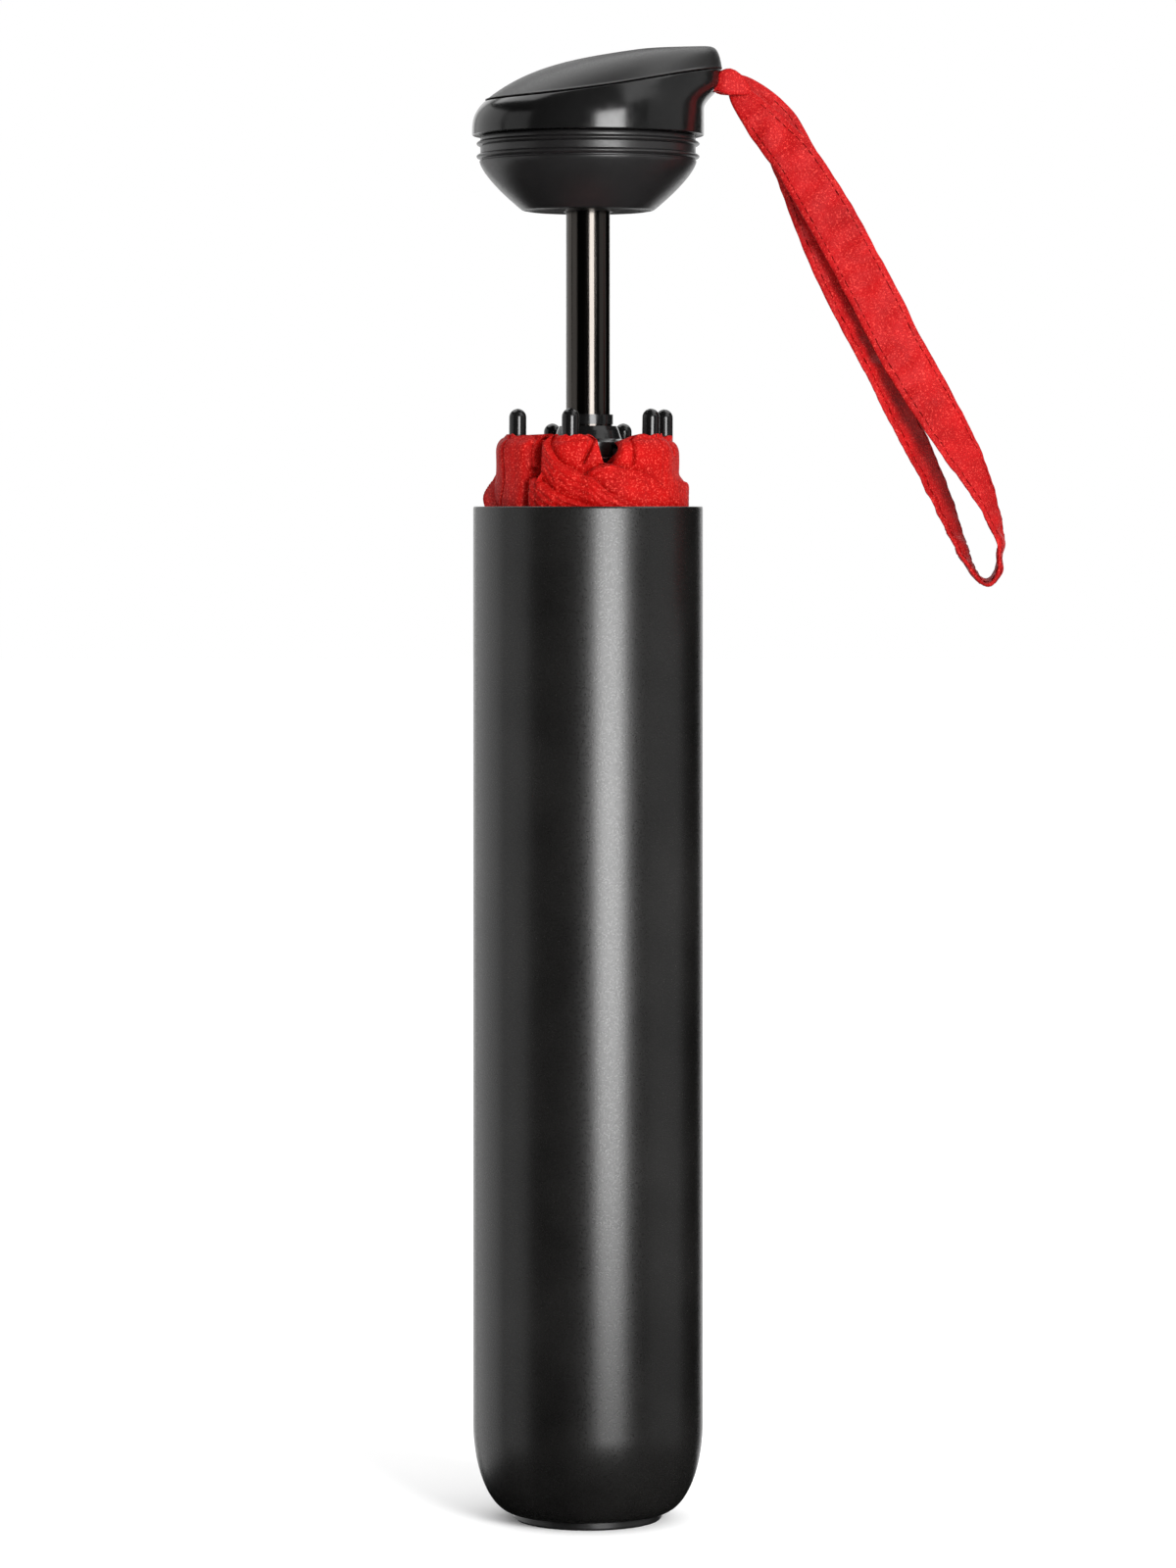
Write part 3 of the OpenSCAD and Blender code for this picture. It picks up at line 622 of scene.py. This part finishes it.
FLAP_SLOPE = 0.3            # mm down for each degree, beyond an edge's last point
# Creases: azimuth and height at both ends, depth and half width in mm
CREASES = (
    (4.8, 15.4, -3.7, 9.4, 1.5, 0.45), (30.8, 17, 30, 9.2, 1.4, 0.4), (52.3, 17, 53, 4, 0.7, 0.25),
    (-39.6, 8.6, -41.2, -6, 3, 0.9), (-63, 17, -63, -4, 0.8, 0.3), (-41, 17, -41, 8, 1.2, 0.8),
    (54.5, 11, 54.6, 9.8, 1.3, 0.22))
RIPPLE_WAVES = 16


def ripple(u, v, seed):
    """Smooth seeded noise of about -1 to 1 over arrays u and v, with waves 4 to 10 long."""
    rng = np.random.default_rng(seed)
    total = np.zeros(np.broadcast(u, v).shape)
    for _ in range(RIPPLE_WAVES):
        heading = rng.uniform(0, 2 * math.pi)
        pitch = rng.uniform(0.6, 1.7)
        total += np.sin(pitch * (u * math.cos(heading) + v * math.sin(heading)) + rng.uniform(0, 6.28))
    return total / math.sqrt(RIPPLE_WAVES / 2) / 1.4


def angle_from(degrees, azimuth):
    """Degrees past an azimuth, from -180 to 180."""
    return (degrees - azimuth + 180) % 360 - 180


def swell(degrees, azimuth, half_width):
    """1 at an azimuth, falling towards 0 on both sides of it."""
    return np.exp(-(angle_from(degrees, azimuth) / half_width) ** 2)


def flap_lift(degrees, z):
    """How far, in mm, the loose flaps raise the cloth at an azimuth and a height above the mouth."""
    total = np.zeros_like(z)
    for start, *edge in FLAPS:
        azimuths = np.array([p[0] for p in edge], float)
        heights = np.array([p[1] for p in edge], float)
        past = (degrees - azimuths[0]) % 360
        line = np.interp(past, azimuths - azimuths[0], heights)
        line -= FLAP_SLOPE * np.maximum(0, past - (azimuths[-1] - azimuths[0]))
        line += 0.25 * ripple(past / 9, past * 0, int(azimuths[0]) % 50)
        slope = (np.interp(past + 1, azimuths - azimuths[0], heights)
                 - np.interp(past - 1, azimuths - azimuths[0], heights)) / (2 * MM_PER_DEGREE)
        # Distance in from the edge, square to it: the cloth stands out at the edge and is tucked in beyond it
        inside = (line - z) / np.sqrt(1 + slope ** 2)
        begun = smooth_step(past / start) * smooth_step((350 - past) / 30)
        standing = 1.9 * np.exp(-np.maximum(0, inside) / 4.5)
        pleats = 0.1 * np.sin(inside * 4.4 + 2.4 * ripple(past / 10, z / 5, 77))
        pleats *= smooth_step((7 - inside) / 4)
        tuck = 1.2 * np.exp(-np.maximum(0, -inside) / 1.1)
        total += begun * smooth_step(inside / 0.3 + 0.4) * (standing + pleats)
        total -= begun * smooth_step(-inside / 0.3 + 0.6) * tuck
    return total


def groove_depth(degrees, z):
    """Depth, in mm, of the gaps between pockets and of the creases."""
    total = np.zeros_like(z)
    for low_azimuth, low_width, top_azimuth, top_width, depth, closes in GAPS:
        rise = np.clip((z - closes) / GAP_RISE, 0, 1)
        middle = low_azimuth + (top_azimuth - low_azimuth) * rise
        half = low_width + (top_width - low_width) * rise ** 0.8
        away = np.abs(angle_from(degrees, middle))
        wall = smooth_step((half - away) / 2.2 + 0.5) * smooth_step((z - closes) / 1.6)
        shoulder = 0.9 * np.exp(-np.maximum(0, away - half) / 4) * smooth_step((z - closes) / 4)
        total = np.maximum(total, depth * wall + shoulder)
    for top_azimuth, top, foot_azimuth, foot, depth, half in CREASES:
        share = (z - foot) / (top - foot)
        middle = foot_azimuth + (top_azimuth - foot_azimuth) * share
        away = angle_from(degrees, middle) * MM_PER_DEGREE
        total += (depth * np.exp(-(away / half) ** 2)
                  * smooth_step((z - foot) / 0.8 + 0.5) * smooth_step((top - z) / 0.8 + 0.5))
    return total


def spiral_edges(phi, z):
    """How far, in mm, the roll's spiral edges and the fine pleats along them move its surface."""
    lean = math.sin(SPIRAL_LEAN)
    girth = 2 * math.pi * ARC_R * lean
    run = phi * ARC_R * lean + z * math.cos(SPIRAL_LEAN) + 1.2 * ripple(np.sin(phi) * 2, z / 16, 5)
    f = (-run * round(girth / SPIRAL_PITCH) / girth) % 1
    step = np.where(f < 0.94, f / 0.94, smooth_step((1 - f) / 0.06)) - 0.5
    pleats = 0.16 * np.sin(f * 44 + 2 * ripple(np.sin(phi) * 4, z / 12, 6)) * (1 - f)
    return SPIRAL_STEP * step + pleats


def canopy_radius(phi, z, low, top):
    """The cloth's outer radius, in mm, at angle phi (radians) and height z, between its ends low and top."""
    degrees = np.degrees(phi)
    gather = smooth_step((z - low) / 9) ** 0.5
    at_top = smooth_step((z + 10) / 8)
    # The roll tapers a little towards the top, and has spiral edges below and loose flaps above
    base = CROWN_R + (ROLL_R - 1.2 * smooth_step((z + 1) / 9) - CROWN_R) * gather
    r = base + spiral_edges(phi, z) * gather * (1 - at_top) + flap_lift(degrees, z) * at_top
    # Fine crumples, and a swelling round each rib tip
    x, y = direction(phi)
    r += (0.1 + 0.12 * at_top) * ripple(x * 7 + y * 5, z / 2.6, 11) * gather
    for azimuth in TIP_AZIMUTHS:
        r += 0.7 * swell(degrees, azimuth, 13) * smooth_step((z - 3) / 8)
    # The right side is drawn in at the top and swells below that
    r -= 0.6 * swell(degrees, 90, 30) * smooth_step((z - 5) / 3)
    r += 0.9 * swell(degrees, 94, 17) * smooth_step((7.4 - z) / 2.2) * smooth_step((z + 8) / 6)
    # The last 3 mm are rounded over
    over = np.clip((z - (top - 3)) / 3, 0, 1)
    return r - groove_depth(degrees, z) * gather - 2.1 * (1 - np.sqrt(1 - 0.96 * over ** 2))


def gap_openness(degrees):
    """At the top: 1 in the middle of a gap, 0 on a pocket, and the height the gap's rim comes down to."""
    share = np.zeros_like(degrees)
    rim = np.full_like(degrees, 99.0)
    for _, low_width, azimuth, width, depth, closes in GAPS:
        if depth < OPEN_GAP:
            continue
        away = np.abs(angle_from(degrees, azimuth))
        share = np.maximum(share, smooth_step((width - away) / (0.6 * width)))
        climb = np.clip((away - low_width) / (width - low_width), 0, 1) ** 1.25
        rim = np.minimum(rim, np.where(away < width, closes + 0.3 + GAP_RISE * climb, 99))
    return share, rim


def direction(phi):
    """Azimuth from the front, to the right, as a unit vector."""
    return np.sin(phi), -np.cos(phi)


def closing_rings(edge, phi, share, peak):
    """Rings in from the cloth's top edge: gathered round the rib tip in a pocket, dropping into a gap."""
    tips = np.array([direction(np.radians(a)) for a in TIP_AZIMUTHS]) * TIP_CIRCLE / MM
    away = np.abs(angle_from(np.degrees(phi)[:, None], np.array(TIP_AZIMUTHS)[None, :]))
    nearest = tips[np.argmin(away, axis=1)]
    out = edge[:, :2] - nearest
    onto_tip = nearest + out / np.linalg.norm(out, axis=1)[:, None] * TIP_R / MM
    onto_tip = np.column_stack([onto_tip, np.full(len(phi), peak - 0.4)])
    sx, sy = direction(phi)
    into_gap = np.column_stack([GAP_FLOOR_R * sx, GAP_FLOOR_R * sy, edge[:, 2] - GAP_DROP])
    goal = onto_tip * (1 - share[:, None]) + into_gap * share[:, None]
    around_tip = np.arctan2(out[:, 1], out[:, 0])
    pleats = 0.16 * np.sin(around_tip * 5) + 0.09 * np.sin(around_tip * 9 + 1)
    rings = []
    for k in range(1, CLOSING_ROWS + 1):
        t = k / CLOSING_ROWS
        ring = edge * (1 - t) + goal * t
        crown = 0.8 * math.sin(math.pi * min(1, t * 1.15))
        ring[:, 2] += (crown + pleats * math.sin(math.pi * t)) * (1 - share)
        rings.append(ring[None, :, :])
    return rings


def make_canopy():
    """The rolled cloth as one sheet, in rings from its gathered end up, and in over the pockets."""
    low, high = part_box("canopy")
    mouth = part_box("case_tube")[1].z / MM
    bottom, peak = low.z / MM - mouth, high.z / MM - mouth
    columns = 640
    phi = np.arange(columns) * 2 * math.pi / columns
    share, rim = gap_openness(np.degrees(phi))
    top = np.minimum(peak - 0.9 + 0.45 * ripple(np.sin(phi) * 9, np.cos(phi) * 9, 3), rim)
    rows_below = np.concatenate([np.linspace(0, 0.08, 10)[:-1], np.linspace(0.08, 1, 52)])
    below = bottom + (FINE_FROM - bottom) * rows_below
    above = np.linspace(0, 1, 105)[1:, None] * (top[None, :] - FINE_FROM) + FINE_FROM
    z = np.concatenate([np.broadcast_to(below[:, None], (len(below), columns)), above])
    grid_phi = np.broadcast_to(phi[None, :], z.shape)
    r = canopy_radius(grid_phi, z, bottom, top[None, :])
    sx, sy = direction(grid_phi)
    wall = np.stack([r * sx, r * sy, z], axis=2)
    grid = np.concatenate([wall] + closing_rings(wall[-1], phi, share, peak), axis=0)
    grid[:, :, 2] += mouth
    round_roll = np.broadcast_to(phi * ARC_R * MM, grid.shape[:2])
    uvs = np.stack([round_roll, grid[:, :, 2] * MM], axis=2).reshape(-1, 2)
    cloth = mesh_object("canopy_cloth", grid.reshape(-1, 3) * MM, grid_faces(len(grid), columns), uvs)
    finish_piece(cloth, "pack", "canopy_cloth", replaces=["canopy"])


# ---------------------------------------------------------------- the strap

# The strap's route: x, y and z from the flange's centre, roll about its own length, share of full width
STRAP_ROUTE = (
    (32.2, 0.9, 12.1, 0, 0.2), (34.7, 1.5, 11.6, 0, 0.42), (38.6, 2, 8.3, 0, 0.62),
    (42.9, 2.2, 3.1, 0, 0.82), (45.5, 2.2, -2.6, 0, 0.95), (48.3, 2.2, -8.7, 0, 1),
    (51, 2.2, -16.2, 4, 1), (54.2, 2.2, -24.8, 12, 1), (57.9, 2.2, -33.9, 24, 1),
    (62.1, 2.2, -43.4, 36, 1), (66.5, 2.2, -52.5, 44, 1), (70.4, 2.2, -61.5, 50, 1),
    (74.7, 2.2, -70.3, 55, 1), (78.5, 2.2, -78.3, 60, 1), (81.7, 2.1, -85.8, 66, 1),
    (84.3, 1.8, -92.4, 74, 1), (86.5, 1.2, -97.5, 82, 1), (88.6, 0.6, -100.4, 87, 1),
    (90.9, 0, -101.1, 90, 1), (92.6, -0.6, -99.2, 92, 1), (93.3, -1.3, -95.3, 96, 1),
    (93, -1.8, -90.6, 103, 1), (91, -2.1, -84.6, 114, 1), (88.1, -2.2, -78.1, 128, 1),
    (84.3, -2.2, -71.3, 142, 1), (79.9, -2.2, -63.9, 154, 1), (75.3, -2.2, -56.2, 164, 1),
    (70.4, -2.2, -47.9, 172, 1), (65.9, -2.2, -38.9, 178, 1), (61, -2.2, -29.8, 180, 1),
    (56.1, -2.2, -20.7, 180, 1), (51.3, -2.2, -12.6, 180, 0.98), (46.7, -2.2, -5.4, 180, 0.92),
    (42, -2.1, 0, 180, 0.83), (37.8, -2, 4.9, 180, 0.68), (34.5, -1.6, 8.8, 180, 0.48),
    (32.2, -0.9, 11.8, 180, 0.2))
STRAP_W, STRAP_T, STRAP_LENGTH = 11 * MM, 1.2 * MM, 260 * MM
STRAP_ROWS = 420
# The ribbon's surface: broad blotches, and small puckers near its edges
BLOTCH_H, BLOTCH_PITCH = 0.3 * MM, 1.25 * MM
PUCKER_H, PUCKER_PITCH = 0.05 * MM, 0.42 * MM
# The stitches: how far in from the ribbon's edge, how far apart, how long, and what each end goes without
STITCH_IN, STITCH_PITCH, STITCH_LENGTH, STITCH_FREE = 1.4 * MM, 2.1 * MM, 1.35 * MM, 8 * MM


def spline(values, count):
    """A smooth curve (Catmull-Rom) through the rows of values, as count rows."""
    v = np.asarray(values, float)
    v = np.vstack([2 * v[0] - v[1], v, 2 * v[-1] - v[-2]])
    out = []
    for s in np.linspace(0, len(v) - 3, count):
        i = min(int(s), len(v) - 4)
        t = s - i
        a, b, c, d = v[i:i + 4]
        out.append(0.5 * (2 * b + (c - a) * t + (2 * a - 5 * b + 4 * c - d) * t * t
                          + (3 * b - a - 3 * c + d) * t ** 3))
    return np.array(out)


def strap_frames():
    """Centre, direction across and through, half width and length so far, along the strap."""
    flange_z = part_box("handle_body")[0].z
    route = spline(STRAP_ROUTE, STRAP_ROWS)
    centre = route[:, :3] * MM + (0, 0, flange_z)
    along = np.gradient(centre, axis=0)
    along /= np.linalg.norm(along, axis=1)[:, None]
    roll = np.radians(route[:, 3])
    across = np.stack([-along[:, 2] * np.cos(roll), np.sin(roll), along[:, 0] * np.cos(roll)], axis=1)
    across -= along * np.sum(across * along, axis=1)[:, None]
    across /= np.linalg.norm(across, axis=1)[:, None]
    through = np.cross(along, across)
    run = np.concatenate([[0], np.cumsum(np.linalg.norm(np.diff(centre, axis=0), axis=1))])
    return centre, across, through, route[:, 4] * STRAP_W / 2, run


# The webbing inside the beak, from its inner end: mm from that end, or from the mouth where negative, and its
# width and height as shares of the CAD piece's
ANCHOR_INSIDE = ((0, 0.8, 0.8), (0.5, 1, 1), (-1.5, 1, 1), (-0.5, 0.96, 0.95), (-0.1, 0.8, 0.7))
# The lobe on each side of the strap: x in mm, its width and height as shares, and how far it is raised in mm
LOBE = (
    (28.2, 0.5, 0.5, 0), (29.2, 0.85, 0.8, 0), (30.2, 1, 1, 0.1), (31.2, 0.95, 1.1, 0.2),
    (32.2, 0.85, 1.12, 0.2), (33.4, 0.72, 1.02, 0), (34.8, 0.55, 0.84, -0.6), (36, 0.35, 0.55, -1.3),
    (36.8, 0.12, 0.22, -1.9))
LOBE_Y, LOBE_HALF_Y, LOBE_HALF_Z = 3.6 * MM, 1 * MM, 2.6 * MM
LOBE_SIDES = 28


def make_strap_anchor():
    """The gathered webbing in the beak: a loop round the pin, and a lobe on each side of the strap."""
    low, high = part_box("strap_anchor")
    middle = (low.z + high.z) / 2
    turn = np.arange(LOBE_SIDES) * 2 * math.pi / LOBE_SIDES
    square_y = np.sign(np.cos(turn)) * np.abs(np.cos(turn)) ** 0.5
    square_z = np.sign(np.sin(turn)) * np.abs(np.sin(turn)) ** 0.5

    def lobe(name, along, centre_y, half_y, half_z, seed):
        rings = []
        for x, size_y, size_z, rise in along:
            crumple = 1 + 0.07 * ripple(turn * 3, np.full(LOBE_SIDES, x / (2 * MM)), seed)
            off_side = centre_y * (0.76 + 0.24 * size_y)
            rings.append(np.stack([np.full(LOBE_SIDES, x), off_side + half_y * size_y * square_y * crumple,
                                   middle + rise * MM + half_z * size_z * square_z * crumple], axis=1))
        return loft(name, rings)

    inside = [((low.x if x >= 0 else high.x) + x * MM, *sizes, 0) for x, *sizes in ANCHOR_INSIDE]
    pieces = [lobe("anchor_inside", inside, 0, (high.y - low.y) / 2, (high.z - low.z) / 2, seed=2)]
    outside = [(x * MM, *rest) for x, *rest in LOBE]
    for side, seed in ((-1, 3), (1, 4)):
        pieces.append(lobe("anchor_lobe", outside, side * LOBE_Y, LOBE_HALF_Y, LOBE_HALF_Z, seed))
    finish_piece(join(pieces), "handle", "strap_ribbon", replaces=["strap_anchor"])


def strap_skin(side, face, run):
    """How far the strap's surface stands off its middle, at side -1 to 1, on face -1 or 1."""
    shape = STRAP_T / 2 * (1 - abs(side) ** 5) ** 0.5
    free = smooth_step(np.minimum(run, STRAP_LENGTH - run) / (12 * MM))
    blotch = free * BLOTCH_H * ripple(run / BLOTCH_PITCH, np.full_like(run, side * 3.2), 41)
    pucker = PUCKER_H * np.sin(run / PUCKER_PITCH + side * 4) * (abs(side) > 0.55)
    return face * (shape + pucker) + blotch * (1 - side ** 2) ** 0.5


# A stitch is a flat prism lying on the ribbon: mm across and above it, and the faces between its two ends
STITCH_SECTION = ((-0.16, -0.1), (0, 0.12), (0.16, -0.1))
STITCH_FACES = ((0, 1, 4, 3), (1, 2, 5, 4), (0, 2, 1), (3, 4, 5), (0, 3, 5, 2))


def stitch_end(centre, across, through, half, run, row, face):
    """The three corners of a stitch's end, in a row at side -1 or 1, on face -1 or 1."""
    side = row * (1 - STITCH_IN / half)
    lift = strap_skin(side, face, run)[0]
    return [centre + across * (half * side + w * MM) + through * (lift + face * h * MM)
            for w, h in STITCH_SECTION]


def make_strap():
    """The ribbon's loop and its stitches."""
    centre, across, through, half, run = strap_frames()
    # The ribbon's edges waver, most at the bend in its middle
    far_bend = np.exp(-((run - run[-1] * 0.5) / (25 * MM)) ** 2)
    scallop = 1 + (0.012 + 0.03 * far_bend) * ripple(run / (1.1 * MM), run * 0, 8)
    # The section's points, as shares of the half width, on one face and back on the other
    shares = [math.copysign(abs(c) ** 0.75, c) for c in np.cos(np.radians(np.linspace(0, 180, 13)))]
    ring = [(c, 1) for c in shares] + [(c, -1) for c in shares[::-1][1:-1]]
    columns = []
    for side, face in ring:
        off = strap_skin(side, face if abs(side) < 1 else 0, run)
        columns.append(centre + across * (half * scallop * side)[:, None] + through * off[:, None])
    grid = np.stack(columns, axis=1)
    sideways = np.array([side for side, _ in ring])[None, :] * STRAP_W / 2
    uvs = np.stack(np.broadcast_arrays(sideways, run[:, None]), axis=2).reshape(-1, 2)
    strap = mesh_object("wrist_strap_ribbon", grid.reshape(-1, 3), grid_faces(len(grid), len(ring)), uvs)
    finish_piece(strap, "strap", "strap_ribbon", replaces=["wrist_strap"])

    # Two rows of stitches on both faces, where the ribbon is nearly its full width
    points, faces = [], []
    for at in np.arange(STITCH_FREE, run[-1] - STITCH_FREE, STITCH_PITCH):
        i, j = (int(np.searchsorted(run, place)) for place in (at, at + STITCH_LENGTH))
        if half[i] < 0.7 * STRAP_W / 2:
            continue
        for row in (-1, 1):
            for face in (-1, 1):
                start, end = (stitch_end(centre[k], across[k], through[k], half[k], run[k:k + 1], row, face)
                              for k in (i, j))
                first = len(points)
                points += start + end
                faces += [tuple(first + n for n in corners) for corners in STITCH_FACES]
    stitches = mesh_object("strap_stitches", points, faces)
    finish_piece(stitches, "strap", "strap_ribbon", material="strap_thread")


# ---------------------------------------------------------------- the making

def dress_cad():
    """Every CAD node that stays takes its slot's procedural material."""
    slots = {s["node"]: s["material_slot"] for s in frame["record"]["subparts"]}
    for name, obj in frame["nodes"].items():
        obj.data.materials.clear()
        obj.data.materials.append(MATERIALS[slots[name]])


def main():
    make_materials()
    make_stage()
    dress_cad()
    make_case()
    make_handle_body()
    make_lid()
    make_plug()
    make_canopy()
    make_strap_anchor()
    make_strap()


main()
